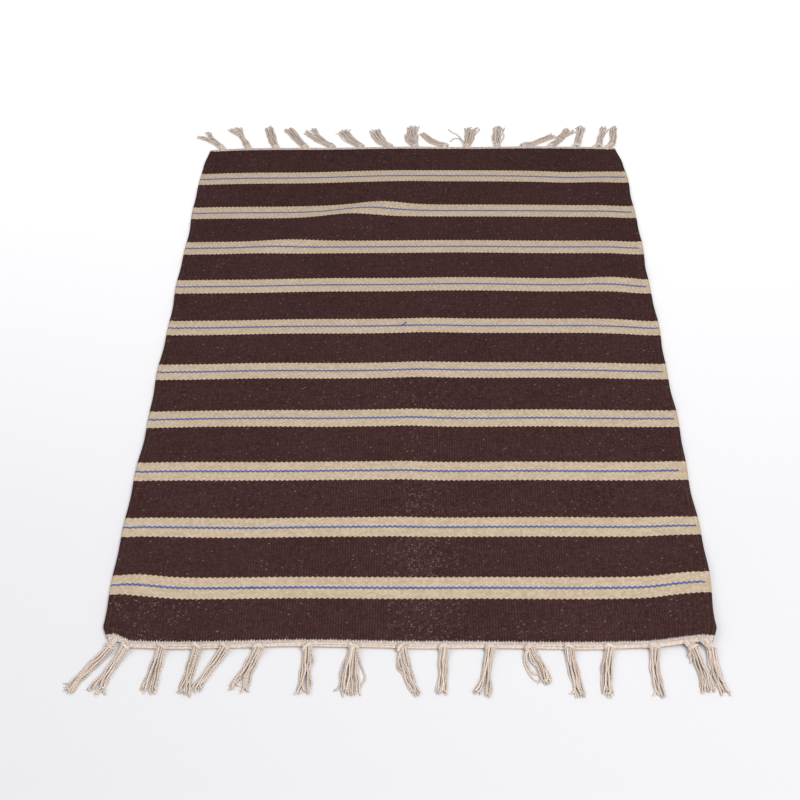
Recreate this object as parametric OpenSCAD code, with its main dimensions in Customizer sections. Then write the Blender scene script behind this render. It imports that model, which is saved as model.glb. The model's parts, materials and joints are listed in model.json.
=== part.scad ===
// Flat-woven cotton bath mat: weft bands packed over a straight warp, a twined
// binding across each end, and a knotted tassel on every group of warp ends.
// Millimetres. The origin is the middle of the woven field's underside, +Y runs
// along the mat's length and +Z is up. The "near" end is the one at -Y.

/* [Woven field] */
// Width of the woven field, selvedge to selvedge
mat_w = 600; // [560:20:640]
// Length of the woven field, binding to binding
mat_l = 900; // [860:10:960]
// Thickness of the weave
mat_t = 4; // [3.6:0.1:5]

/* [Stripes] */
// Distance from one cream stripe to the next
stripe_pitch = 83.2; // [76:0.1:84]
// Length of one cream stripe along the mat
cream_l = 28; // [20:1:34]
// Brown weft between the near binding and the first cream stripe
near_band_l = 52; // [40:1:58]
// Length of the single blue pick in the middle of each cream stripe
blue_l = 2.4; // [1.6:0.1:3]

/* [Warp] */
// Distance between neighbouring warp cords
warp_pitch = 2.73; // [2.43:0.01:3]
// Diameter of one warp cord
warp_d = 1.3; // [1:0.1:1.3]
// Diameter of the thicker cord inside each selvedge
selvedge_d = 2.2; // [1.6:0.1:2.2]

/* [Binding] */
// Diameter of the twined cord across each end
binding_d = 6; // [4.4:0.1:6.4]

/* [Tassels] */
// Diameter of the barrel-shaped knot at the root of a tassel
knot_d = 10; // [8:0.2:11]
// Width of one strand of yarn in a tassel
strand_w = 1.6; // [1.2:0.1:1.7]
// Height of a tassel's two layers of strands
strand_h = 3.2; // [2.4:0.1:3.4]
// Angle between neighbouring strands of a tassel
strand_fan = 2; // [1:0.1:2.2]

/* [Hidden] */
CREAM_COUNT = 10;
BROWN_COUNT = CREAM_COUNT + 1;

// Each tassel's root across the mat, from the middle, left to right seen from the near end
NEAR_X = [-290, -275, -239, -205, -179, -146, -98, -54, -7, 33, 77, 116, 153, 191, 234, 271, 288];
FAR_X = [-280, -241, -200, -158, -119, -77, -35, 2, 45, 77, 121, 161, 200, 236, 268, 286];
// Each tassel's lean in degrees, towards +X when positive
NEAR_LEAN = [-32, -23, -7, -8, -22, -18, -2, -3, 16, -4, -10, 19, 7, -8, 0, 7, 8];
FAR_LEAN = [-41, -25, -15, -29, -37, -32, -25, -3, -38, 10, 6, 53, 34, 11, 12, 8];
// Each tassel's length from the middle of its knot to its longest strand's tip
NEAR_LEN = [58, 53, 49, 52, 53, 49, 51, 52, 53, 49, 52, 40, 52, 52, 52, 49, 50];
FAR_LEN = [50, 60, 60, 60, 60, 54, 52, 58, 48, 54, 56, 54, 55, 56, 54, 54];

TWO_DIGITS = 10;
function numbered(stem, i) = str(stem, i < TWO_DIGITS ? "0" : "", i);

BROWN = [0.27, 0.17, 0.16];
CREAM = [0.80, 0.72, 0.60];
BLUE = [0.35, 0.43, 0.65];
NATURAL = [0.84, 0.78, 0.70];

half_w = mat_w / 2;
half_l = mat_l / 2;
mid_z = mat_t / 2;
cut = 1;                                  // how far a cutting solid runs past what it cuts
clear = 0.1;                              // total play of a cord in its channel

// The warp runs in flat channels of five cords, with a stitch of weft between them
cords_each = 5;
channel_pitch = cords_each * warp_pitch;
channel_w = (cords_each - 1) * warp_pitch + warp_d + clear;
selvedge_x = half_w - mid_z - selvedge_d / 2 - 0.6;
channel_side = floor((selvedge_x - selvedge_d - channel_w / 2) / channel_pitch);
warp_edge = channel_side * channel_pitch + channel_w / 2;

field_near = -half_l + binding_d;         // where the weft bands start, past the near binding
field_far = half_l - binding_d;
brown_l = stripe_pitch - cream_l;

function cream_start(i) = field_near + near_band_l + (i - 1) * stripe_pitch;
function cream_end(i) = cream_start(i) + cream_l;
function brown_start(i) = i == 1 ? field_near : cream_end(i - 1);
function brown_end(i) = i == BROWN_COUNT ? field_far : cream_start(i);

// The blue pick turns back just inside the right selvedge, where the cream weft is carried past it
blue_right = (warp_edge + selvedge_x - selvedge_d / 2 - clear / 2) / 2;

knot_r = knot_d / 2;
knot_flat = 1.6;                          // half the length of the barrel's straight part
knot_taper = 2.6;                         // each end narrows by this much over the same length
knot_gap = 0.3;                           // between a knot and the binding
knot_y = half_l + knot_gap + knot_r;
strand_side = 3;                          // strands on each side of the middle one
strand_z = 0.2;
neck_r = 2.6;
neck_l = 11;
tip_step = 0.8;                           // each strand ends this much short of its inner neighbour

// Cross-section of the weave in X and Z, with rounded selvedges and open channels for the warp
module weave_section() {
    difference() {
        union() {
            translate([-half_w + mid_z, 0]) square([mat_w - mat_t, mat_t]);
            for (side = [-1, 1]) translate([side * (half_w - mid_z), mid_z]) circle(d = mat_t, $fn = 48);
        }
        for (i = [-channel_side : channel_side])
            translate([i * channel_pitch, mid_z]) square([channel_w, warp_d + clear], center = true);
        for (side = [-1, 1])
            translate([side * selvedge_x, mid_z]) square(selvedge_d + clear, center = true);
    }
}

// A stretch of weft packed over the warp, from y0 to y1
module weft(y0, y1) {
    translate([0, y1, 0]) rotate([90, 0, 0]) linear_extrude(height = y1 - y0) weave_section();
}

module brown_band(i) {
    color(BROWN) weft(brown_start(i), brown_end(i));
}

// Everything across the mat from the left selvedge to where a blue pick turns back
module blue_reach(i) {
    translate([-half_w - cut, cream_start(i) + (cream_l - blue_l) / 2, -cut])
        cube([half_w + cut + blue_right, blue_l, mat_t + 2 * cut]);
}

module cream_stripe(i) {
    color(CREAM) difference() {
        weft(cream_start(i), cream_end(i));
        blue_reach(i);
    }
}

module blue_picks() {
    color(BLUE) for (i = [1 : CREAM_COUNT]) intersection() {
        weft(cream_start(i), cream_end(i));
        blue_reach(i);
    }
}

module cord_along(x, d) {
    translate([x, half_l, mid_z]) rotate([90, 0, 0]) cylinder(h = mat_l, d = d, $fn = 16);
}

module warp_cords() {
    color(NATURAL)
        for (i = [-channel_side : channel_side], k = [-(cords_each - 1) / 2 : (cords_each - 1) / 2])
            cord_along(i * channel_pitch + k * warp_pitch, warp_d);
}

module selvedge_cords() {
    color(NATURAL) for (side = [-1, 1]) cord_along(side * selvedge_x, selvedge_d);
}

// A round bar across one end, open where the warp passes through it
module binding(end) {
    reach = binding_d + 2 * cut;
    color(NATURAL) difference() {
        translate([-half_w, end * (half_l - binding_d / 2), binding_d / 2])
            rotate([0, 90, 0]) cylinder(h = mat_w, d = binding_d, $fn = 48);
        for (i = [-channel_side : channel_side])
            translate([i * channel_pitch, end * (half_l - binding_d / 2), mid_z])
                cube([channel_w, reach, warp_d + clear], center = true);
        for (side = [-1, 1])
            translate([side * selvedge_x, end * (half_l - binding_d / 2), mid_z])
                cube([selvedge_d + clear, reach, selvedge_d + clear], center = true);
    }
}

// A wrapped knot: a barrel across the strands, on the line the tassel lifts about
module knot() {
    rotate([0, 90, 0]) cylinder(h = 2 * knot_flat, r = knot_r, center = true, $fn = 40);
    for (side = [-1, 1]) rotate([0, side * 90, 0]) translate([0, 0, knot_flat])
        cylinder(h = knot_taper, r1 = knot_r, r2 = knot_r - knot_taper, $fn = 40);
}

// A knot with its strands lying flat behind it, fanned in plan; the strands run along +Y here
module tassel(length) {
    translate([0, 0, knot_r]) knot();
    translate([0, 0, strand_z + neck_r]) rotate([-90, 0, 0]) cylinder(h = neck_l, r = neck_r, $fn = 32);
    translate([0, 0, strand_z]) linear_extrude(height = strand_h)
        for (k = [-strand_side : strand_side]) rotate(-k * strand_fan)
            translate([-strand_w / 2, 0]) square([strand_w, length - tip_step * abs(k)]);
}

module near_tassel(i) {
    color(NATURAL) translate([NEAR_X[i - 1], -knot_y, 0])
        rotate([0, 0, 180 + NEAR_LEAN[i - 1]]) tassel(NEAR_LEN[i - 1]);
}

module far_tassel(i) {
    color(NATURAL) translate([FAR_X[i - 1], knot_y, 0])
        rotate([0, 0, -FAR_LEAN[i - 1]]) tassel(FAR_LEN[i - 1]);
}

for (i = [1 : BROWN_COUNT]) brown_band(i);
for (i = [1 : CREAM_COUNT]) cream_stripe(i);
blue_picks();
warp_cords();
selvedge_cords();
binding(-1);  // near_binding
binding(1);  // far_binding
for (i = [1 : len(NEAR_X)]) near_tassel(i);
for (i = [1 : len(FAR_X)]) far_tassel(i);
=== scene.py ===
"""A flat-woven cotton bath mat: weft bands woven bead by bead, twined bindings and knotted tassels.

Lengths are in millimetres until a mesh is made, which is in metres. The lights are placed in metres.
"""
import json
import math
from collections import namedtuple

import bpy
import numpy as np
from mathutils import Matrix, Vector


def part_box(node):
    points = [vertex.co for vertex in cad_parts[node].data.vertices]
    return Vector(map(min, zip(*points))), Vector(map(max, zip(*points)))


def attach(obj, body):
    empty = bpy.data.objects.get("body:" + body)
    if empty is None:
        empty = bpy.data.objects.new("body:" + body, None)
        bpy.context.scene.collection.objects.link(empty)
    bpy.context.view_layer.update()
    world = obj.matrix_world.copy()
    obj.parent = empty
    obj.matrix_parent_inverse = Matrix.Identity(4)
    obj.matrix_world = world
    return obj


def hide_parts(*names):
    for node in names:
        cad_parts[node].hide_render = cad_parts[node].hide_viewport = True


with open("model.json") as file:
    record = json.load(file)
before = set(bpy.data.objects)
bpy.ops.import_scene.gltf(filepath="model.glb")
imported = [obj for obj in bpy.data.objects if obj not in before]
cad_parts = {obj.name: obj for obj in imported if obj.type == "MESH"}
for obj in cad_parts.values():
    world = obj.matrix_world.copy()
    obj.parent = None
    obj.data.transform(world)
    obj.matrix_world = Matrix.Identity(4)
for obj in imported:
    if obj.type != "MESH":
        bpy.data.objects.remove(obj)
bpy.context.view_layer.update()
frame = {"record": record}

MM = 0.001
BODY = "woven_field"
HALF_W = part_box("brown_band_01")[1][0] / MM
HALF_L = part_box("far_binding")[1][1] / MM
RIB = 2.73                  # one warp cord to the next
PICK = 1.3                  # one pick of weft to the next
MID = 2.0                   # the middle of the cloth's thickness
rng = np.random.default_rng(41)


# ---------------------------------------------------------------- camera, lights and floor

CAMERA_AT = (14, -1276, 1062)
CAMERA_TILT = 41.9          # degrees below the horizontal
CAMERA_YAW = -1.33          # degrees to the right
CAMERA_ROLL = -1.01         # degrees
CAMERA_LENS = 62.0
FLOOR_SIZE = 8000

# Each area light: where it is and what it faces, its width, its power and its colour
LIGHTS = {
    "key": ((0.8, -1.5, 1.9), (0, -0.2, 0), 1.4, 38, (1.0, 0.985, 0.97)),
    "fill": ((-1.7, -0.5, 2.0), (0, -0.1, 0), 1.8, 14, (0.96, 0.98, 1.0)),
}
SKY_COLOUR = (0.97, 0.97, 1.0, 1)
SKY_STRENGTH = 0.58


def add_camera():
    tilt = math.radians(CAMERA_TILT)
    yaw = math.radians(CAMERA_YAW)
    roll = math.radians(CAMERA_ROLL)
    forward = Vector((math.sin(yaw) * math.cos(tilt), math.cos(yaw) * math.cos(tilt), -math.sin(tilt)))
    level = Vector((math.cos(yaw), -math.sin(yaw), 0))
    upright = level.cross(forward)
    right = level * math.cos(roll) + upright * math.sin(roll)
    up = right.cross(forward)
    camera = bpy.data.objects.new("camera", bpy.data.cameras.new("camera"))
    camera.data.lens = CAMERA_LENS
    camera.data.sensor_width = 36
    camera.data.clip_end = 50
    facing = Matrix((right, up, -forward)).transposed().to_4x4()
    camera.matrix_world = Matrix.Translation(Vector(CAMERA_AT) * MM) @ facing
    bpy.context.scene.collection.objects.link(camera)
    bpy.context.scene.camera = camera


def add_area(name, at, aim, size, power, colour):
    light = bpy.data.lights.new(name, "AREA")
    light.shape = "DISK"
    light.size = size
    light.energy = power
    light.color = colour
    holder = bpy.data.objects.new(name, light)
    holder.location = at
    holder.rotation_euler = (Vector(aim) - Vector(at)).to_track_quat("-Z", "Y").to_euler()
    bpy.context.scene.collection.objects.link(holder)


def add_lights():
    for name, settings in LIGHTS.items():
        add_area(name, *settings)
    world = bpy.data.worlds.new("studio")
    world.use_nodes = True
    back = world.node_tree.nodes["Background"]
    back.inputs["Color"].default_value = SKY_COLOUR
    back.inputs["Strength"].default_value = SKY_STRENGTH
    bpy.context.scene.world = world
    bpy.context.scene.view_settings.view_transform = "Standard"


# ---------------------------------------------------------------- materials

class Nodes:
    """A small helper that adds shader nodes and joins them up."""

    def __init__(self, name):
        self.material = bpy.data.materials.new(name)
        self.material.use_nodes = True
        self.tree = self.material.node_tree
        self.shader = self.tree.nodes["Principled BSDF"]

    def add(self, kind, inputs=(), **settings):
        node = self.tree.nodes.new("ShaderNode" + kind)
        for key, value in settings.items():
            setattr(node, key, value)
        for key, value in dict(inputs).items():
            if isinstance(value, bpy.types.NodeSocket):
                self.tree.links.new(value, node.inputs[key])
            else:
                node.inputs[key].default_value = value
        return node

    def math(self, operation, a, b=0.0):
        return self.add("Math", {0: a, 1: b}, operation=operation).outputs[0]

    def vector(self, operation, a, b=(0, 0, 0)):
        return self.add("VectorMath", {0: a, 1: b}, operation=operation).outputs[0]

    def noise(self, at, scale, detail=2.0):
        return self.add("TexNoise", {"Vector": at, "Scale": scale, "Detail": detail}).outputs["Fac"]

    def ranged(self, value, low, high, to_low=0.0, to_high=1.0):
        ends = {"Value": value, "From Min": low, "From Max": high, "To Min": to_low, "To Max": to_high}
        return self.add("MapRange", ends).outputs["Result"]

    def mix(self, factor, a, b):
        node = self.add("Mix", {"Factor": factor}, data_type="RGBA")
        for socket, value in ((node.inputs[6], a), (node.inputs[7], b)):
            if isinstance(value, bpy.types.NodeSocket):
                self.tree.links.new(value, socket)
            else:
                socket.default_value = (*value, 1)
        return node.outputs[2]

    def finish(self, colour, roughness, bump, strength, distance, sheen):
        link = self.tree.links.new
        link(colour, self.shader.inputs["Base Color"])
        link(roughness, self.shader.inputs["Roughness"])
        normal = self.add("Bump", {"Height": bump, "Strength": strength, "Distance": distance})
        link(normal.outputs["Normal"], self.shader.inputs["Normal"])
        self.shader.inputs["Specular IOR Level"].default_value = 0.1
        self.shader.inputs["Sheen Weight"].default_value = sheen
        self.shader.inputs["Sheen Roughness"].default_value = 0.6
        return self.material


def linear(red, green, blue):
    """An 8-bit sRGB colour as the linear numbers that a shader takes."""
    channels = (red / 255, green / 255, blue / 255)
    return tuple(c / 12.92 if c <= 0.04045 else ((c + 0.055) / 1.055) ** 2.4 for c in channels)


# Where the pale warp peeps through the brown weft: x, y, reach in x and y, and how much of it shows
WARP_SHOWS = [
    (14, -370, 34, 75, 1.0), (8, -262, 26, 70, 0.5), (-2, -90, 34, 70, 0.35), (-258, -402, 40, 34, 0.45),
    (250, -395, 50, 20, 0.15), (120, -430, 60, 9, 0.3), (-60, 300, 70, 60, 0.12),
]
WARP_SHOWS_ANYWHERE = 0.04


def warp_spots(n, rib, pick, band, share_shown):
    """Dots between two ribs, where the warp shows through the weft: 0 for none, up to 1 for the palest."""
    gap = n.math("ADD", rib, 0.5)
    step = n.math("ADD", n.math("MULTIPLY", pick, 0.5), n.math("MULTIPLY", n.math("FLOOR", gap), 0.37))
    hole = n.add("CombineXYZ", {0: n.math("FLOOR", gap), 1: n.math("FLOOR", step), 2: band}).outputs[0]
    aside = n.math("MULTIPLY", n.math("SUBTRACT", n.math("FRACT", gap), 0.5), RIB)
    apart = n.math("MULTIPLY", n.math("SUBTRACT", n.math("FRACT", step), 0.5), 2 * PICK)
    reach = n.math("SQRT", n.math("ADD", n.math("POWER", aside, 2.0), n.math("POWER", apart, 2.0)))
    chance = n.add("TexWhiteNoise", {"Vector": n.vector("ADD", hole, (0.5, 0.5, 71))}).outputs
    here = n.add("TexCoord").outputs["Object"]
    share = WARP_SHOWS_ANYWHERE
    for x, y, wide, long, much in WARP_SHOWS:
        offset = n.vector("SUBTRACT", here, (x * MM, y * MM, 0))
        offset = n.vector("DIVIDE", offset, (wide * MM, long * MM, 1))
        away = n.add("VectorMath", {0: offset}, operation="LENGTH").outputs["Value"]
        share = n.math("ADD", n.ranged(away, 1.5, 0.2, 0.0, much * 0.6), share)
    shown = n.math("LESS_THAN", chance["Value"], n.math("MULTIPLY", share, share_shown))
    strength = n.add("TexWhiteNoise", {"Vector": n.vector("ADD", hole, (0.5, 0.5, 19))}).outputs["Value"]
    bright = n.ranged(n.math("POWER", strength, 2.5), 0, 1, 0.16, 0.85)
    return n.math("MULTIPLY", n.math("MULTIPLY", n.ranged(reach, 0.85, 0.35), shown), bright)


def weft_material(name, dark, light, groove, speck, speck_share, rib_light_and_shade):
    """Weft yarn packed over a warp. The weave attribute counts warp ribs in x and picks of weft in y."""
    n = Nodes(name)
    weave = n.add("Attribute", attribute_name="weave").outputs["Vector"]
    rib, pick, band = n.add("SeparateXYZ", {0: weave}).outputs
    # each pick is its own length of yarn, and drifts in tone along the mat's width
    along = n.add("CombineXYZ", {0: n.math("MULTIPLY", rib, 0.045), 1: n.math("FLOOR", pick), 2: band})
    tone = n.noise(along.outputs[0], 1.0, 3.0)
    patch = n.noise(n.vector("MULTIPLY", weave, (0.022, 0.011, 1)), 1.0, 3.0)
    # a bead is where a pick crosses over one rib; the next rib's beads are half a step up
    column = n.math("FLOOR", rib)
    stagger = n.math("MULTIPLY", n.math("ADD", pick, column), 0.5)
    bead = n.math("FLOOR", n.math("ADD", stagger, 0.5))
    over = n.math("SUBTRACT", n.math("FRACT", n.math("ADD", stagger, 0.5)), 0.5)
    beside = n.math("SUBTRACT", n.math("FRACT", rib), 0.5)
    place = n.add("CombineXYZ", {0: n.math("MULTIPLY", beside, 1.75), 1: n.math("MULTIPLY", over, 2.0)})
    rim = n.add("VectorMath", {0: place.outputs[0]}, operation="LENGTH").outputs["Value"]
    cell = n.add("CombineXYZ", {0: column, 1: bead, 2: band}).outputs[0]
    each = n.add("TexWhiteNoise", {"Vector": cell}).outputs["Value"]
    shade = n.math("ADD", n.math("MULTIPLY", tone, 0.4), n.math("MULTIPLY", patch, 0.25))
    shade = n.math("ADD", shade, n.math("MULTIPLY", each, 0.35))
    colour = n.mix(n.ranged(shade, 0.3, 0.7), dark, light)
    # painted highlight: some ribs are painted lighter along their crest for a few picks, as if they stood
    # prouder and caught more light
    stretched = {0: n.math("MULTIPLY", column, 1.7), 1: n.math("MULTIPLY", pick, 0.06), 2: band}
    streak = n.add("CombineXYZ", stretched).outputs[0]
    rib_highlight_share = n.ranged(n.noise(streak, 1.0, 1.0), 0.35, 0.7)
    crest = n.ranged(n.math("ABSOLUTE", beside), 0.36, 0.1)
    colour = n.mix(n.math("MULTIPLY", n.math("MULTIPLY", crest, rib_highlight_share), rib_light_and_shade), colour, light)
    # painted shade: the groove colour darkens the gaps between ribs and the rims round each bead
    rib_gap_shade = n.ranged(n.math("ABSOLUTE", beside), 0.3, 0.5, 0.0, rib_light_and_shade)
    colour = n.mix(rib_gap_shade, colour, groove)
    colour = n.mix(n.ranged(rim, 0.6, 1.15, 0.0, 0.75), colour, groove)
    colour = n.mix(warp_spots(n, rib, pick, band, speck_share), colour, speck)
    # fine fibres run along the yarn, with a slight twist
    fibre = n.noise(n.vector("MULTIPLY", weave, (5, 9, 1)), 1.6, 4.0)
    colour = n.mix(n.ranged(fibre, 0.3, 0.75, 0.0, 0.25), colour, light)
    roughness = n.ranged(fibre, 0.3, 0.7, 1.0, 0.88)
    return n.finish(colour, roughness, fibre, 0.5, 0.0004, 0.0)


def cord_material(name, dark, light, groove, sheen):
    """Twisted cotton cord. The yarn attribute runs along it in x and round it in y, and numbers it in z."""
    n = Nodes(name)
    yarn = n.add("Attribute", attribute_name="yarn").outputs["Vector"]
    _, around, number = n.add("SeparateXYZ", {0: yarn}).outputs
    each = n.add("TexWhiteNoise", {"W": number}, noise_dimensions="1D").outputs["Value"]
    drift = n.noise(n.vector("MULTIPLY", yarn, (0.06, 0.0, 3.7)), 1.0, 3.0)
    shade = n.math("ADD", n.math("MULTIPLY", each, 0.45), n.math("MULTIPLY", drift, 0.55))
    colour = n.mix(n.ranged(shade, 0.25, 0.75), dark, light)
    # painted shade: the groove colour darkens the cord between its plies
    ply = n.math("ABSOLUTE", n.math("SUBTRACT", n.math("FRACT", n.math("MULTIPLY", around, 3.0)), 0.5))
    colour = n.mix(n.math("MULTIPLY", n.ranged(ply, 0.24, 0.0), 0.6), colour, groove)
    fibre = n.noise(n.vector("MULTIPLY", yarn, (1.4, 14, 5)), 1.5, 4.0)
    colour = n.mix(n.ranged(fibre, 0.35, 0.8, 0.0, 0.35), colour, light)
    roughness = n.ranged(fibre, 0.3, 0.7, 0.95, 0.8)
    return n.finish(colour, roughness, fibre, 0.6, 0.0004, sheen)


def floor_material():
    """A pale paper sweep with painted light: darker towards the front, and brighter and faintly glowing
    towards the back though it is no lamp.
    """
    n = Nodes("pale_floor")
    place = n.add("TexCoord").outputs["Object"]
    tone = n.noise(place, 1.5, 3.0)
    depth = n.add("SeparateXYZ", {0: place}).outputs[1]
    # painted light: the colour darkens towards the front, and the glow below brightens the back
    colour = n.mix(n.ranged(depth, -0.6, 0.5), (0.70, 0.70, 0.715), (0.95, 0.95, 0.95))
    painted_glow = n.ranged(depth, -0.3, 1.0, 0.0, 0.24)
    n.shader.inputs["Emission Color"].default_value = (1, 1, 1, 1)
    n.tree.links.new(painted_glow, n.shader.inputs["Emission Strength"])
    return n.finish(colour, n.ranged(tone, 0, 1, 0.7, 0.8), tone, 0.02, 0.001, 0.0)


# ---------------------------------------------------------------- the lie of the cloth

# Soft folds: start, end, width of the fold and its height
FOLDS = [
    ((-242, 176), (-4, 324), 24, 5.7),
    ((150, 330), (262, 340), 16, 3.0),
    ((205, 120), (292, 146), 18, 2.5),
    ((28, 150), (-18, -330), 26, 1.2),
    ((-290, -150), (-120, -135), 24, 1.2),
]
# Slow swells of the whole cloth: waves across, waves along, phase and height
SWELLS = [(1.1, 2.3, 0.4, 0.5), (2.7, 1.4, 2.1, 0.4), (0.6, 4.2, 4.0, 0.4), (3.6, 3.1, 1.2, 0.25)]
# Where the stripes are eased along the mat: x, y, reach in x and y, and how far
EASED = [
    (0, -255, 900, 80, -1.3), (-278, -378, 32, 60, 5), (45, 376, 120, 50, 2.2), (215, 371, 32, 50, -2.2),
    (-180, 288, 90, 40, -1.4), (222, 38, 34, 90, 1.0), (-80, -450, 80, 34, 1.4), (0, -470, 900, 50, -1.9),
    (0, 288, 900, 34, -1.2), (-120, 205, 110, 40, -1.4), (90, 205, 200, 60, -1.0), (80, 50, 50, 40, -1.4),
    (170, -212, 80, 50, -0.8), (290, -200, 20, 60, 1.0), (-220, -212, 60, 34, -1.2),
    (-200, -128, 50, 30, -0.9), (-30, -128, 70, 30, 0.8), (-175, -295, 60, 34, -1.0),
]


def ease(low, high, value):
    """A smooth step from 0 at low to 1 at high. It falls instead where low is the greater."""
    t = np.clip((value - low) / (high - low), 0, 1)
    return t * t * (3 - 2 * t)


def hump(value, middle, reach):
    """1 at the middle, falling smoothly to almost nothing at twice the reach."""
    return np.exp(-((value - middle) / reach) ** 2)


def cloth_lift(x, y, near):
    """How far the flat mat's point x, y is lifted off the floor, by folds, swells and a curled corner."""
    lift = np.zeros_like(x)
    for (x0, y0), (x1, y1), width, height in FOLDS:
        run = np.array([x1 - x0, y1 - y0], float)
        length = np.hypot(*run)
        t = ((x - x0) * run[0] + (y - y0) * run[1]) / length ** 2
        across = (run[0] * (y - y0) - run[1] * (x - x0)) / length
        grow = ease(-0.15, 0.65, t) * (1 - ease(0.8, 1.2, t))
        lift = lift + height * grow * hump(across, 0, width)
    for waves_x, waves_y, phase, height in SWELLS:
        across = np.sin(x / HALF_W * waves_x * math.pi + phase)
        along = np.sin(y / HALF_L * waves_y * math.pi + 2 * phase)
        lift = lift + height * 0.5 * (1 + across * along)
    return lift + 3 * near ** 2 * ease(190, 295, x)


def cloth_y(x, y, near, far_corner):
    """Where the flat mat's point x, y comes to lie along the mat."""
    # both corners of the near end are drawn back
    new_y = y + 7 * near * ease(225, 298, x)
    new_y = new_y + 9 * ease(-HALF_L + 90, -HALF_L, y) * ease(-270, -294, x)
    new_y = new_y - 4 * far_corner * (x / HALF_W) ** 8
    # the middle is eased a little further along than the sides, and the right side sags in the far half
    arch = (1.4 + 3.0 * ease(-180, 20, y)) * (1 - 0.8 * ease(380, 450, y))
    new_y = new_y + 0.4 + 0.8 * ease(-150, 0, y) - arch * (x / HALF_W) ** 2
    new_y = new_y - 2.2 * ease(250, 288, x) * ease(-30, 60, y) * (1 - ease(300, 350, y))
    for at_x, at_y, reach_x, reach_y, shift in EASED:
        new_y = new_y + shift * np.exp(-((x - at_x) / reach_x) ** 2 - ((y - at_y) / reach_y) ** 2)
    # the stripes wander slowly
    return new_y + 0.4 * np.sin(x / 61 + y / 160) + 0.35 * np.sin(x / 29 - y / 90 + 1)


def cloth_x(x, y, far_corner):
    """Where the flat mat's point x, y comes to lie across the mat."""
    # every corner is drawn in
    near_corner = ease(-HALF_L + 18, -HALF_L, y)
    new_x = x - 6 * near_corner * (x / HALF_W) ** 5
    new_x = new_x - far_corner * np.where(x > 0, 10, 6) * (x / HALF_W) ** 3
    # the side edges swell out and in
    edge = np.abs(x / HALF_W) ** 6
    bulge = np.where(x > 0, -3.2, -1.3) * hump(y, -432, 30) + 2.0 * hump(y, -320, 40) * (x < 0)
    bulge = bulge - 3.5 * hump(y, 405, 30) * (x > 0)
    return new_x + edge * (0.8 * np.sin(y / 29) + 0.6 * np.sin(y / 13 + x) + bulge * np.sign(x))


def cloth(x, y):
    """Where the flat mat's point x, y lies: its new x and y, and how far it is lifted off the floor."""
    near = 1 - ease(-390, -230, y)
    far_corner = ease(HALF_L - 45, HALF_L, y)
    return cloth_x(x, y, far_corner), cloth_y(x, y, near, far_corner), cloth_lift(x, y, near)


# ---------------------------------------------------------------- mesh makers

def make_mesh(name, verts, faces, material, attribute, values, ride_on=BODY):
    """A smooth-shaded object from points in millimetres, with one vector attribute for its material."""
    mesh = bpy.data.meshes.new(name)
    mesh.from_pydata((np.asarray(verts) * MM).tolist(), [], np.asarray(faces).tolist())
    layer = mesh.attributes.new(attribute, "FLOAT_VECTOR", "POINT")
    layer.data.foreach_set("vector", np.asarray(values, np.float32).ravel())
    mesh.materials.append(material)
    mesh.polygons.foreach_set("use_smooth", np.ones(len(mesh.polygons), bool))
    piece = bpy.data.objects.new(name, mesh)
    bpy.context.scene.collection.objects.link(piece)
    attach(piece, ride_on)
    return piece


class Batch:
    """Collects points, faces and attribute values for one mesh."""

    def __init__(self):
        self.verts = []
        self.faces = []
        self.values = []
        self.count = 0

    def add(self, verts, faces, values):
        self.verts.append(verts)
        self.faces.append(np.asarray(faces) + self.count)
        self.values.append(values)
        self.count += len(verts)

    def build(self, name, material, attribute, ride_on=BODY):
        return make_mesh(name, np.concatenate(self.verts), np.concatenate(self.faces), material, attribute,
                         np.concatenate(self.values), ride_on)


def ring_walls(rings, around):
    """Four-sided faces between each ring of points and the next."""
    start = np.arange(rings - 1)[:, None] * around
    here = np.arange(around)
    after = (here + 1) % around
    corners = [start + here, start + after, start + around + after, start + around + here]
    return np.stack(corners, axis=-1).reshape(-1, 4)


# ---------------------------------------------------------------- the weave

RIBS_EACH_SIDE = 107
SCALLOP = 0.8               # how far a colour's edge swings from rib to rib
TOOTH = 1.3                 # how far each rib of a binding reaches over the brown weft
TOOTH_DIP = 0.3             # and how far the grooves draw back, as a share of that
INTERLOCK = 0.42            # how far a bead pushes into the groove beside it
RIB_HALF = 1.55             # half the cloth's thickness at a rib
GROOVE_HALF = 1.3           # and between two ribs
BEAD_HEIGHT = 0.42
WOBBLE = 0.07               # how much the ribs' height varies by chance
RIBS_END = 294              # where the ribs give way to the selvedge, from the middle
SELVEDGE_WAVES_FROM = 298   # where the weft turns back, and its edge waves in and out
SELVEDGE_WAVE = 0.22
BAND_APART = 13.0           # sets each band's place in the noise well apart from the next
BANDS = 11
BLUE_HALF = 1.2             # half the length of the blue pick along the mat
BLUE_STOPS = [6, 4, 9, 5, 6, 1, 5, 6, 4, 3]     # how far short of the right selvedge it stops, near to far

# Across the mat: a sample at each rib and each groove, with a round selvedge on each side
HALF_RIBS = np.arange(-RIBS_EACH_SIDE - 0.5, RIBS_EACH_SIDE + 0.75, 0.5)
SELVEDGE_X = np.array([294.7, 295.6, 296.7, 297.8, 298.8, 299.5, 299.9])
SELVEDGE_HALF = np.array([1.35, 1.8, 1.95, 1.85, 1.5, 1.0, 0.4])
ACROSS = np.concatenate([-SELVEDGE_X[::-1], HALF_RIBS * RIB, SELVEDGE_X])
LAST = len(ACROSS) - 1
AT_RIB = np.abs(HALF_RIBS % 1) < 0.25
NO_RIB = np.zeros(len(SELVEDGE_X), bool)
IS_PEAK = np.concatenate([NO_RIB, AT_RIB, NO_RIB])
HALF_THICK = np.concatenate([SELVEDGE_HALF[::-1], np.where(AT_RIB, RIB_HALF, GROOVE_HALF), SELVEDGE_HALF])
COLUMN = np.round(ACROSS / RIB).astype(int)
BEAD = np.where(IS_PEAK, BEAD_HEIGHT, 0.0)
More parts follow.
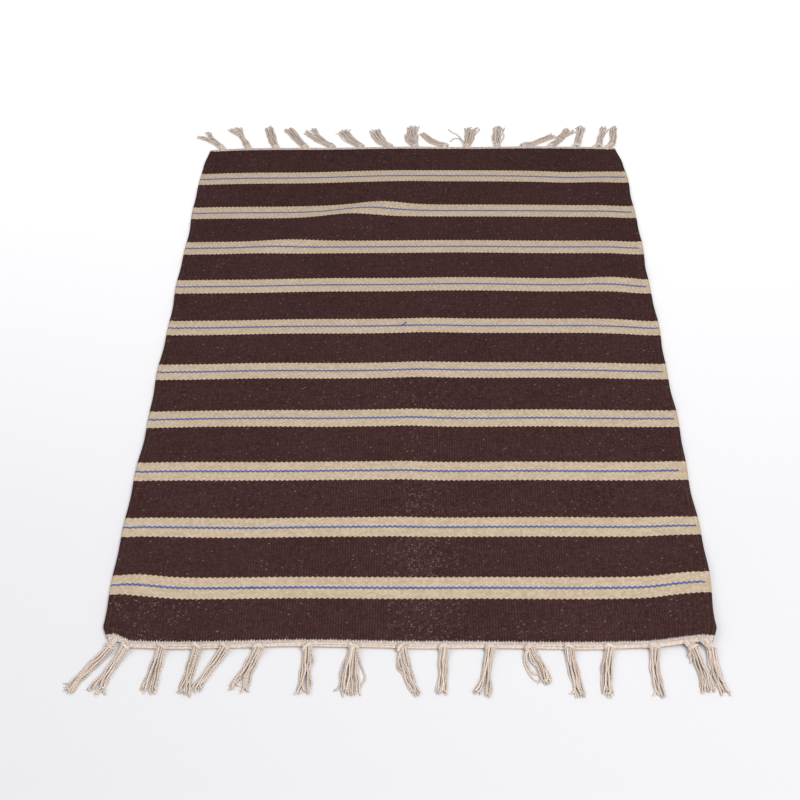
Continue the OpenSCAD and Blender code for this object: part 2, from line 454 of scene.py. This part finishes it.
# How uneven the bindings' teeth are
UNEVEN = 0.95 + 0.55 * np.sin(COLUMN * 2.4) * np.sin(COLUMN * 0.37) + 0.3 * np.sin(COLUMN * 1.1)


def weave_tube(batch, y0, y1, rows, first, last, band, plump=0.0, teeth=(0.0, 0.0)):
    """One closed stretch of weave from y0 to y1, over the sample columns first to last.

    Its two edges swing from rib to rib, unless teeth gives how far each rib's crest reaches there.
    """
    x = ACROSS[first:last + 1]
    peak = IS_PEAK[first:last + 1]
    column = COLUMN[first:last + 1]
    half = HALF_THICK[first:last + 1]
    bead = BEAD[first:last + 1]
    parity = np.where(column % 2 == 0, 1.0, -1.0)
    row = np.arange(rows + 1)
    grid_x = np.tile(x, (rows + 1, 1))
    grid_y = np.repeat(np.linspace(y0, y1, rows + 1)[:, None], len(x), axis=1)
    inner = ((row > 0) & (row < rows))[:, None]
    for at, tooth in zip((0, rows), teeth):
        swing = tooth * UNEVEN[first:last + 1] if tooth else SCALLOP * parity
        grid_y[at] += np.where(peak, swing, -TOOTH_DIP * tooth)
    flip = np.where(row % 2 == 0, 1.0, -1.0)[:, None]
    over = np.where(inner, parity * flip, 0)
    wobble = np.where(inner & peak, rng.normal(0, WOBBLE, grid_x.shape), 0)
    waves = (np.abs(x) > SELVEDGE_WAVES_FROM) * SELVEDGE_WAVE * np.sign(x)
    grid_x = grid_x + np.where(inner, flip * waves, 0)
    groove = inner & ~peak & (np.abs(x) < RIBS_END)
    left_rib = np.where(np.floor(x / RIB) % 2 == 0, 1.0, -1.0)
    sheets = []
    for face in (1, -1):
        height = half + plump * peak + bead * over * face + wobble
        push = np.where(groove, INTERLOCK * left_rib * flip * face, 0)
        new_x, new_y, lift = cloth(grid_x + push, grid_y)
        sheets.append(np.stack([new_x, new_y, MID + face * height + lift], axis=-1))
    verts = np.concatenate([sheets[0], sheets[1][:, ::-1]], axis=1).reshape(-1, 3)
    # each row's points run round the tube: over the upper face, then back along the underside
    ring = 2 * len(x)
    walls = ring_walls(rows + 1, ring)
    i = np.arange(len(x) - 1)
    near_cap = np.stack([i + 1, i, ring - 1 - i, ring - 2 - i], axis=-1)
    far_cap = near_cap[:, ::-1] + rows * ring
    rib = np.tile(np.concatenate([x, x[::-1]]) / RIB + 0.5, (rows + 1, 1))
    # the underside's beads lie where the upper face has its gaps, one pick further on
    pick = (grid_y - y0) / (y1 - y0) * rows
    picks = np.concatenate([pick, pick[:, ::-1] + 1], axis=1)
    values = np.stack([rib, picks, np.full_like(rib, band * BAND_APART)], axis=-1)
    batch.add(verts, np.concatenate([walls, near_cap, far_cap]), values.reshape(-1, 3))


def odd_rows(length):
    """The odd number of pick rows nearest to a length, so that the scallops of two bands always meet."""
    return 2 * round((length / PICK - 1) / 2) + 1


def declare_sheet(node):
    """Hides a stretch of the mat's CAD part, which the weave replaces."""
    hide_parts(node)


def span(node):
    """Where a CAD node starts and ends along the mat."""
    low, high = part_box(node)
    return low[1] / MM, high[1] / MM


def build_bands(material):
    for i in range(1, BANDS + 1):
        node = f"brown_band_{i:02d}"
        y0, y1 = span(node)
        batch = Batch()
        teeth = (TOOTH if i == 1 else 0.0, -TOOTH if i == BANDS else 0.0)
        weave_tube(batch, y0, y1, odd_rows(y1 - y0), 0, LAST, i, teeth=teeth)
        piece = batch.build(f"brown_weft_{i:02d}", material, "weave")
        declare_sheet(node)


def build_stripes(cream_material, blue_material):
    for i, stop in enumerate(BLUE_STOPS, start=1):
        node = f"cream_stripe_{i:02d}"
        y0, y1 = span(node)
        middle = (y0 + y1) / 2
        ends_at = int(np.argmin(np.abs(ACROSS - (HALF_W - stop))))
        rows = odd_rows((y1 - y0) / 2 - BLUE_HALF)
        batch = Batch()
        weave_tube(batch, y0, middle - BLUE_HALF, rows, 0, LAST, 20 + i)
        weave_tube(batch, middle + BLUE_HALF, y1, rows, 0, LAST, 40 + i)
        weave_tube(batch, middle - BLUE_HALF, middle + BLUE_HALF, 3, ends_at, LAST, 60 + i)
        piece = batch.build(f"cream_weft_{i:02d}", cream_material, "weave")
        declare_sheet(node)
        blue = Batch()
        weave_tube(blue, middle - BLUE_HALF, middle + BLUE_HALF, 3, 0, ends_at, 80 + i)
        yarn = blue.build(f"blue_pick_{i:02d}", blue_material, "weave")
        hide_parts("blue_picks")


def build_blue_flaws(material):
    """A thick place in the nearest blue pick, and a short end that has worked loose from the sixth."""
    middles = [sum(span(f"cream_stripe_{i:02d}")) / 2 for i in (1, 6)]
    batch = Batch()
    xs = np.linspace(-167, -149, 22)
    path = np.stack([xs, middles[0] + 0.5 * np.sin(xs / 2), np.full_like(xs, MID + 1.5)], axis=-1)
    strand(batch, laid(path), 0.25 + 1.0 * hump(xs, -158, 4.5), 3, twist=0.8)
    loose = np.array([(-14, 0, 1.6), (-11.5, 0.4, 2.2), (-9.2, 1.6, 2.9), (-8, 3.4, 3.1), (-8.2, 5.2, 2.8)])
    path = smooth_path(loose + [0, middles[1], MID], 0.8)
    strand(batch, laid(path), 0.75, 5, twist=0.8)
    piece = batch.build("blue_loose_yarn", material, "weave")
    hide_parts("blue_picks")


# ---------------------------------------------------------------- cords

def frames(path):
    """Tangent, side and up at each point of a path, turning as little as possible."""
    tangent = np.gradient(path, axis=0)
    tangent /= np.linalg.norm(tangent, axis=1)[:, None]
    up = np.zeros_like(path)
    guess = np.array([0.0, 0.0, 1.0])
    if abs(tangent[0] @ guess) > 0.9:
        guess = np.array([1.0, 0.0, 0.0])
    for i, t in enumerate(tangent):
        guess = guess - t * (guess @ t)
        guess = guess / np.linalg.norm(guess)
        up[i] = guess
    return tangent, np.cross(tangent, up), up


def strand(batch, path, radius, number, twist=0.0, start_turn=0.0, plies=3, groove=0.16, sides=6):
    """A twisted cord along a path: its section has one lobe for each ply, and turns as it goes."""
    path = np.asarray(path, float)
    count = len(path)
    _, side, up = frames(path)
    step = np.linalg.norm(np.diff(path, axis=0), axis=1)
    along = np.concatenate([[0], np.cumsum(step)])
    around = np.arange(sides) / sides
    turn = (along * twist + start_turn)[:, None]
    angle = 2 * math.pi * around[None, :] + turn
    size = np.broadcast_to(np.asarray(radius, float), (count,)).copy()
    size[0] *= 0.55
    size[-1] *= 0.75
    bulge = 1 + groove * np.cos(plies * 2 * math.pi * around)
    reach = (size[:, None] * bulge[None, :])[..., None]
    outwards = np.cos(angle)[..., None] * side[:, None] + np.sin(angle)[..., None] * up[:, None]
    ring = path[:, None] + reach * outwards
    verts = np.concatenate([ring.reshape(-1, 3), path[:1], path[-1:]])
    walls = ring_walls(count, sides)
    # each end closes on its own middle point, with pairs of wall points as four-sided faces
    two = np.arange(0, sides, 2)
    after = (two + 2) % sides
    root = np.full(len(two), count * sides)
    base = (count - 1) * sides
    near_end = np.stack([root, after, two + 1, two], axis=-1)
    far_end = np.stack([root + 1, two + base, two + 1 + base, after + base], axis=-1)
    numbers = np.full(count * sides, float(number))
    values = np.stack([np.repeat(along, sides), np.tile(around, count), numbers], axis=-1)
    ends = np.array([[0, 0, number], [along[-1], 0, number]], float)
    batch.add(verts, np.concatenate([walls, near_end, far_end]), np.concatenate([values, ends]))


def laid(path):
    """A path drawn on the flat mat, moved to where the cloth lies."""
    new_x, new_y, lift = cloth(path[:, 0], path[:, 1])
    return np.stack([new_x, new_y, path[:, 2] + lift], axis=-1)


def bundle(batch, path, offsets, radius, number, twist, turn):
    """Several strands side by side along one path, each at its own offset, turning together."""
    _, side, up = frames(path)
    step = np.linalg.norm(np.diff(path, axis=0), axis=1)
    angle = (np.concatenate([[0], np.cumsum(step)]) * turn)[:, None]
    for k, (a, b) in enumerate(offsets):
        out = side * (a * np.cos(angle) - b * np.sin(angle)) + up * (a * np.sin(angle) + b * np.cos(angle))
        strand(batch, path + out, radius, number + k, twist, start_turn=k * 1.7)


WARP_R = 0.6
SELVEDGE_CORD_R = 1.0
SELVEDGE_CORD_X = 296.6


def lengthwise(x):
    """A path inside the cloth from one end of the mat to the other."""
    ys = np.linspace(-HALF_L + 0.5, HALF_L - 0.5, 61)
    return laid(np.stack([np.full_like(ys, x), ys, np.full_like(ys, MID)], axis=-1))


def build_warp(material):
    """The cords inside the weave, which lie where the cloth lies."""
    warp = Batch()
    for k in range(-RIBS_EACH_SIDE, RIBS_EACH_SIDE + 1):
        strand(warp, lengthwise(k * RIB), WARP_R, k + 200, sides=4, plies=2, groove=0.0)
    piece = warp.build("warp_yarns", material, "yarn")
    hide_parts("warp_cords")
    selvedges = Batch()
    for x in (-SELVEDGE_CORD_X, SELVEDGE_CORD_X):
        strand(selvedges, lengthwise(x), SELVEDGE_CORD_R, x, twist=0.5)
    piece = selvedges.build("selvedge_yarns", material, "yarn")
    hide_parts("selvedge_cords")


BINDING_PICKS_L = 3.4       # how far the binding's picks reach along the mat
NEAR_PLUMP = 0.45           # how much thicker the near binding's ribs are than the weave's
FAR_DROP = 0.9              # how much lower the far binding's cords lie
# The cords outside the picks: how far out, how high above the cloth's middle, and radius
BINDING_CORDS = [(0.6, 0.9, 1.25), (2.3, 0.2, 1.3), (1.6, -0.8, 1.1)]


def build_binding(end, node, picks_cotton, cord_cotton):
    """Thick picks of natural cotton packed against the brown, with plied cords outside them."""
    y0, y1 = span(node)
    near = end < 0
    inner = y1 if near else y0
    seam = inner + end * BINDING_PICKS_L
    teeth = (0.0, TOOTH) if near else (-TOOTH, 0.0)
    plump = NEAR_PLUMP if near else 0.0
    picks = Batch()
    weave_tube(picks, min(inner, seam), max(inner, seam), 3, 0, LAST, 100 - end, plump, teeth)
    piece = picks.build(node + "_picks", picks_cotton, "weave")
    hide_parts(node)
    cords = Batch()
    xs = np.linspace(-HALF_W + 1.2, HALF_W - 1.2, 520)
    drop = 0 if near else FAR_DROP
    for k, (out, high, radius) in enumerate(BINDING_CORDS):
        wander = 0.3 * np.sin(xs / 31 + 2 * k) + 0.2 * np.sin(xs / 13 + k)
        z = np.maximum(MID + high - drop + 0.25 * np.sin(xs / 19 + 3 * k), radius + 0.15)
        path = np.stack([xs, seam + end * (out + wander), z], axis=-1)
        thick = radius + 0.1 * np.sin(xs / 23 + k)
        strand(cords, laid(path), thick, 900 + k, twist=0.55, sides=10, plies=2, groove=0.12)
    piece = cords.build(node + "_cords", cord_cotton, "yarn")
    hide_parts(node)


# ---------------------------------------------------------------- tassels

# Each tassel, left to right: its length, its width half way and at the tips, how far it bows and how far its
# tips bend towards +X, and its number of strands
Tassel = namedtuple("Tassel", "length middle tips bow bend strands")
NEAR_TASSELS = [Tassel(*row) for row in [
    (57, 9, 10, -2, 0, 9), (53, 9.5, 15, 0, 0, 11), (49, 11, 15, 0, 0, 12), (52, 8.5, 15, 0, 0, 11),
    (53, 7.5, 9, -1, -4, 9), (49, 11, 17, -1, 0, 12), (51, 10.5, 12, 1, 0, 11), (52, 17, 20, -1.5, 0, 16),
    (53, 10, 7, -2, 0, 10), (49, 8.5, 12, 0, 0, 10), (52, 9, 15, 0, 0, 11), (39, 9, 9, 1.5, 0, 10),
    (52, 8.5, 9.5, -1, 0, 10), (52, 10.5, 12, -1.5, 0, 11), (52, 8.5, 9.5, -2.5, 0, 10),
    (49, 11, 14, 2, 0, 11), (50, 9.5, 9, -2.5, 0, 10),
]]
FAR_TASSELS = [Tassel(*row) for row in [
    (49, 11, 15, 1, 0, 12), (60, 8, 14, 2, 0, 10), (59, 11, 13, -1, 0, 11), (60, 12, 14, 0, 0, 12),
    (60, 14, 16, -3, 0, 13), (54, 15, 16, -2.5, 0, 14), (52, 15, 15, -5.5, 0, 14),
    (57, 15, 16, -2.5, 0, 14), (48, 10, 10, -5, -3, 11), (54, 14, 16, 0, 0, 13),
    (55, 11, 17, -2.5, 0, 13), (54, 10, 12, 3, 2, 11), (55, 10, 14, 0.5, 0, 11),
    (55, 11, 13, 1, 0, 11), (54, 8, 12, -1, 3, 10), (53, 8, 11, 1.5, 0, 10),
]]
# Tassels whose tips part into two, and how far
PARTED = {
    "near_tassel_02": 1.5, "near_tassel_03": 1.5, "near_tassel_06": 3.5, "near_tassel_07": 2,
    "near_tassel_11": 2, "far_tassel_01": 6, "far_tassel_02": 2.5, "far_tassel_05": 3,
    "far_tassel_10": 3, "far_tassel_13": 2,
}
# Strands that stray from their tassel: distance out, towards +X and up, from the knot's middle
STRAYS = {
    "near_tassel_07": [
        [(1, 3, 5), (6, 5.5, 3), (11, 6.5, 1.5), (16, 5.5, 1)],
    ],
    "near_tassel_08": [
        [(2, 4, 5), (8, 6, 3), (18, 9.5, 1.2), (29, 13.5, 1), (38, 11, 1), (44, 9.5, 1), (50, 11, 1)],
    ],
    "near_tassel_09": [
        [(2, -1, 6), (8, -5.5, 3), (15, -9.5, 1.2), (21, -9, 1), (24, -5.5, 1.5), (22, 0, 4)],
        [(1, -2, 6), (8, -6.5, 3), (14, -8, 2.2), (19, -7, 2.4), (22, -4, 3)],
    ],
    "near_tassel_12": [
        [(-1, -3, 6), (4, -8.5, 3), (14, -11.5, 1.1), (26, -11, 1), (33, -8, 1), (34, -2, 1.2)],
        [(-1, -2, 6), (5, -7, 3), (13, -9, 1.5), (24, -7.5, 1.2), (27, -2, 2.2)],
        [(0, -1, 6), (6, -4, 4), (14, -4, 3), (19, -1.5, 3)],
    ],
    "near_tassel_16": [
        [(1, -2, 5), (5, -5.5, 3), (9, -5, 1.5), (12, -7, 1)],
        [(1, -3, 6), (5, -6.5, 4), (8, -3, 2)],
    ],
    "near_tassel_17": [
        [(2, -2, 5), (14, -5, 2), (22, -5.5, 1.2), (29, -9, 1), (36, -8, 1), (40, -3, 1.4), (37, 2, 3)],
        [(2, -3, 5), (12, -5.5, 2), (24, -7.5, 1.2), (34, -11, 1), (45, -11, 1)],
    ],
    "far_tassel_08": [
        [(1, -3, 5), (6, -8, 3), (16, -11, 1.2), (30, -10, 1)],
        [(1, -3, 5), (8, -9, 3), (20, -13, 1.2), (36, -13, 1)],
    ],
    "far_tassel_10": [
        [(1, -4, 5), (12, -9, 3), (22, -13, 1.2), (31, -20, 1), (35, -27, 1), (43, -34, 1)],
        [(1, -4, 5), (12, -8, 3), (18, -13, 1.2), (20, -18, 1), (17, -23, 1), (9, -26, 1)],
    ],
    "far_tassel_11": [
        [(1, -3, 5), (12, -7, 3), (26, -9, 2), (38, -6, 2), (42, 0, 3), (38, 4, 4)],
        [(2, 3, 5), (14, 6, 3), (27, 8, 2), (34, 7, 2)],
    ],
}
YARN_R = 0.98
YARN_LIES = YARN_R * 1.12   # the height at which a strand lies on the floor, clear of its plies
YARN_STEP = 1.15            # between the rings of a strand
PLY_GROOVE = 0.15
TWIST = 0.75                # radians of ply twist for each millimetre of cord
ROOT_HALF = 3.8             # half a tassel's width where it leaves its knot
KNOT_BACK = 2.8             # the knot's wraps sit this far back from the hinge, against the binding
KNOT_WIDE = 4.1             # half the knot's width and height
KNOT_TALL = 2.7
FAR_KNOT = 0.75             # the size of the knots at the far end, and of the first near one
FIRST_KNOT = 0.84
FAR_KNOT_DROP = 1.1
UP = np.array([0, 0, 1.0])


def tassel_frame(name):
    """A knot's place and the tassel's direction, from the hinge that lifts it."""
    joint = next(j for j in frame["record"]["behaviour"]["joints"] if j["child"] == name)
    place = np.array(joint["pos_m"]) / MM
    axis = np.array(joint["axis"], float)
    forward = np.array([-axis[1], axis[0], 0.0])
    return place, forward / np.linalg.norm(forward)


def towards_x(forward):
    """Square to a tassel's direction, on the side of +X."""
    side = np.array([-forward[1], forward[0], 0.0])
    return side if side[0] > 0 else -side


def smooth_path(points, step):
    """A smooth curve through a few given points, in even steps."""
    points = np.asarray(points, float)
    ends = np.concatenate([[2 * points[0] - points[1]], points, [2 * points[-1] - points[-2]]])
    t = np.linspace(0, 1, 12, endpoint=False)[:, None]
    parts = []
    for a, b, c, d in zip(ends, ends[1:], ends[2:], ends[3:]):
        squared = (2 * a - 5 * b + 4 * c - d) * t ** 2
        cubed = (3 * b - 3 * c + d - a) * t ** 3
        parts.append(0.5 * (2 * b + (c - a) * t + squared + cubed))
    curve = np.concatenate(parts + [points[-1:]])
    along = np.concatenate([[0], np.cumsum(np.linalg.norm(np.diff(curve, axis=0), axis=1))])
    even = np.linspace(0, along[-1], max(6, int(along[-1] / step)))
    return np.stack([np.interp(even, along, curve[:, i]) for i in range(3)], axis=-1)


def knot_wrap(batch, place, forward, size, dice, number):
    """The bundle's turns round itself: a fat overhand knot lying askew, snug against the binding."""
    skew = dice.uniform(-0.55, 0.55)
    across = towards_x(forward)
    side = across * math.cos(skew) + forward * math.sin(skew)
    t = np.linspace(0, 1, 44)
    angle = 2 * math.pi * (1.5 * t + dice.uniform(0.1, 0.4))
    advance = -KNOT_BACK - 2.4 + 5.0 * t + 0.9 * np.sin(angle * 0.5)
    path = place + advance[:, None] * forward + KNOT_WIDE * size * np.cos(angle)[:, None] * side
    path = path + KNOT_TALL * size * np.sin(angle)[:, None] * UP
    offsets = [(0.85 * math.cos(a), 0.85 * math.sin(a)) for a in np.arange(5) * 2 * math.pi / 5]
    bundle(batch, path, offsets, 0.86, number, twist=TWIST, turn=0.16)


def tassel_strand(place, forward, style, part, u, layer, dice):
    """The path of one strand from inside the knot to its tip, lying on the floor."""
    length = style.length
    side = towards_x(forward)
    reach = length * dice.uniform(0.88, 1.0)
    steps = max(12, int(reach / YARN_STEP))
    s = np.linspace(-3.5, reach, steps)
    t = np.clip(s / length, 0, 1)
    slim = 1 - 0.25 * layer
    half = ROOT_HALF + (style.middle / 2 - YARN_R * 0.6 - ROOT_HALF) * ease(0, 0.5, t)
    half = (half + (style.tips - style.middle) / 2 * ease(0.45, 1.05, t)) * slim
    lateral = u * half + style.bow * 4 * t * (1 - t) + style.bend * t ** 2
    lateral = lateral + part * np.sign(u) * ease(0.55, 1, t)
    slow = np.sin(s / dice.uniform(6, 10) + dice.uniform(0, 6))
    quick = np.sin(s / dice.uniform(2.6, 4) + dice.uniform(0, 6))
    lateral = lateral + 0.75 * ease(0, 0.4, t) * (slow + 0.5 * quick)
    rest = YARN_LIES + layer * 1.7 * (1 - 0.35 * ease(0.6, 1, t))
    drop = np.exp(-np.clip(s, 0, None) / 7.0)
    start = place[2] + (layer - 0.8) * 1.6
    height = rest + (start - rest) * drop + 0.3 * np.sin(s / 5 + dice.uniform(0, 6)) * (layer > 0)
    path = place * [1, 1, 0] + s[:, None] * forward + lateral[:, None] * side + height[:, None] * UP
    if dice.random() < 0.4:
        path = curl_tip(path, dice.uniform(4, 9), dice.choice([-1, 1]) * dice.uniform(0.5, 1.9))
    path[:, 2] = np.maximum(path[:, 2], YARN_LIES)
    return path


def curl_tip(path, length, turn):
    """The last few millimetres of a path, bent sideways into a hook."""
    steps = np.diff(path, axis=0)
    left = np.cumsum(np.linalg.norm(steps, axis=1)[::-1])[::-1]
    angle = turn * np.clip(1 - left / length, 0, 1) ** 1.3
    c = np.cos(angle)
    s = np.sin(angle)
    x, y, z = steps.T
    turned = np.stack([x * c - y * s, x * s + y * c, z], axis=-1)
    return np.concatenate([path[:1], path[:1] + np.cumsum(turned, axis=0)])


def fray(batch, tip, heading, dice, number):
    """The ends of the plies, loose past the cut."""
    side = np.array([heading[1], -heading[0], 0.0])
    for k in range(3):
        reach = dice.uniform(0.8, 2.4)
        spread = dice.uniform(-0.6, 0.6)
        t = np.linspace(0, 1, 4)
        path = tip + (t * reach)[:, None] * (heading + spread * side)[None, :]
        path[:, 2] = np.maximum(tip[2] + dice.uniform(-0.4, 0.6) * t, 0.35)
        strand(batch, path, 0.42 * (1 - 0.4 * t), number + 0.1 * k, sides=4, plies=2, groove=0.0)


def layers(count):
    """Where each strand of a bundle lies: its place across, from -1 to 1, and its layer."""
    lowest = math.ceil(count * 0.45)
    middle = math.ceil((count - lowest) * 0.62)
    spots = []
    for layer, strands, wide in ((0, lowest, 1.0), (1, middle, 0.95), (2, count - lowest - middle, 0.7)):
        for u in np.linspace(-wide, wide, strands) if strands > 1 else [0.1]:
            spots.append((u, layer))
    return spots


def build_tassel(name, style, index, material):
    """One tassel: its strands, their frayed tips, its strays and its knot, all riding on its hinge."""
    place, forward = tassel_frame(name)
    side = towards_x(forward)
    dice = np.random.default_rng(500 + index)
    batch = Batch()
    number = index * 40
    for k, (u, layer) in enumerate(layers(style.strands)):
        u = u + dice.uniform(-0.12, 0.12)
        path = tassel_strand(place, forward, style, PARTED.get(name, 0), u, layer, dice)
        strand(batch, path, YARN_R, number + k, TWIST, dice.uniform(0, 6), groove=PLY_GROOVE)
        heading = (path[-1] - path[-3]) * [1, 1, 0]
        fray(batch, path[-1], heading / np.linalg.norm(heading), dice, number + k)
    for k, points in enumerate(STRAYS.get(name, [])):
        route = [place * [1, 1, 0] + a * forward + b * side + [0, 0, c] for a, b, c in points]
        path = smooth_path(route, YARN_STEP)
        strand(batch, path, YARN_R * 0.9, number + 35 + k, TWIST, groove=PLY_GROOVE)
    far = place[1] > 0
    size = FAR_KNOT if far else FIRST_KNOT if index == 0 else 1.0
    knot_wrap(batch, place - [0, 0, FAR_KNOT_DROP * far], forward, size, dice, number + 30)
    piece = batch.build(name + "_yarn", material, "yarn", ride_on=name)
    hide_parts(name)


GATHERED = 9                # warp ends drawn into each knot
GATHER_R = 0.84


def gather_reach(end, style):
    """How far to each side of a knot its warp ends come from."""
    if end > 0:
        return 3.2
    return 3.5 if style.middle < 9.2 else 5.5


def build_gathers(end, names, styles, binding_node, material):
    """Warp ends drawn together from the binding into each knot. They stay with the cloth."""
    low, high = span(binding_node)
    edge_y = low if end < 0 else high
    batch = Batch()
    for index, (name, style) in enumerate(zip(names, styles)):
        place, _ = tassel_frame(name)
        dice = np.random.default_rng(900 + index)
        reach = gather_reach(end, style)
        for k, u in enumerate(np.linspace(-1, 1, GATHERED)):
            from_x = np.clip(place[0] + u * reach + dice.uniform(-0.5, 0.5), -HALF_W + 1, HALF_W - 1)
            root = np.array([[from_x, edge_y - end * 3.6, MID]])
            lip = np.array([[from_x - u * 0.5, edge_y - end * 1.2, MID + 1.9 + 0.4 * (k % 2)]])
            goal = place + np.array([u * 2.8, 0.0, dice.uniform(-1.0, 1.4)])
            path = smooth_path([laid(root)[0], laid(lip)[0], goal], 1.2)
            path[:, 2] = np.maximum(path[:, 2], 1.0)
            strand(batch, path, GATHER_R, index * GATHERED + k, twist=TWIST, start_turn=k)
    piece = batch.build("near_warp_ends" if end < 0 else "far_warp_ends", material, "yarn")
    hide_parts(binding_node)


# ---------------------------------------------------------------- the whole mat

# Each weft: its material, its yarn dark and light, the painted shade between ribs and round beads, the
# specks' colour and share, and how strongly the ribs' painted highlight and shade show
WEFTS = {
    "brown": ("brown_cotton", linear(48, 28, 27), linear(80, 54, 52), linear(34, 19, 18),
              linear(160, 143, 134), 1.0, 0.6),
    "cream": ("cream_cotton", linear(184, 164, 139), linear(212, 195, 171), linear(160, 136, 108),
              linear(214, 196, 172), 0.0, 0.0),
    "blue": ("blue_cotton", linear(66, 88, 150), linear(100, 124, 184), linear(58, 70, 118),
             linear(190, 186, 190), 0.0, 0.2),
    "natural": ("natural_picks", linear(186, 173, 164), linear(220, 210, 203), linear(140, 118, 104),
                linear(214, 196, 172), 0.0, 0.0),
}
# The undyed cord: dark and light, the painted shade between plies, and its sheen
CORD = ("natural_cotton", linear(210, 193, 178), linear(244, 231, 219), linear(156, 124, 104), 0.05)


def build_floor(material):
    half = FLOOR_SIZE / 2 * MM
    corners = [(-half, -half, 0), (half, -half, 0), (half, half, 0), (-half, half, 0)]
    mesh = bpy.data.meshes.new("floor")
    mesh.from_pydata(corners, [], [(0, 1, 2, 3)])
    mesh.materials.append(material)
    floor = bpy.data.objects.new("floor", mesh)
    bpy.context.scene.collection.objects.link(floor)


def main():
    add_camera()
    add_lights()
    wefts = {key: weft_material(*settings) for key, settings in WEFTS.items()}
    cord = cord_material(*CORD)
    build_floor(floor_material())
    build_bands(wefts["brown"])
    build_stripes(wefts["cream"], wefts["blue"])
    build_blue_flaws(wefts["blue"])
    build_warp(cord)
    build_binding(-1, "near_binding", wefts["natural"], cord)
    build_binding(1, "far_binding", wefts["natural"], cord)
    near = [f"near_tassel_{i:02d}" for i in range(1, len(NEAR_TASSELS) + 1)]
    far = [f"far_tassel_{i:02d}" for i in range(1, len(FAR_TASSELS) + 1)]
    for index, (name, style) in enumerate(zip(near + far, NEAR_TASSELS + FAR_TASSELS)):
        build_tassel(name, style, index, cord)
    build_gathers(-1, near, NEAR_TASSELS, "near_binding", cord)
    build_gathers(1, far, FAR_TASSELS, "far_binding", cord)


main()
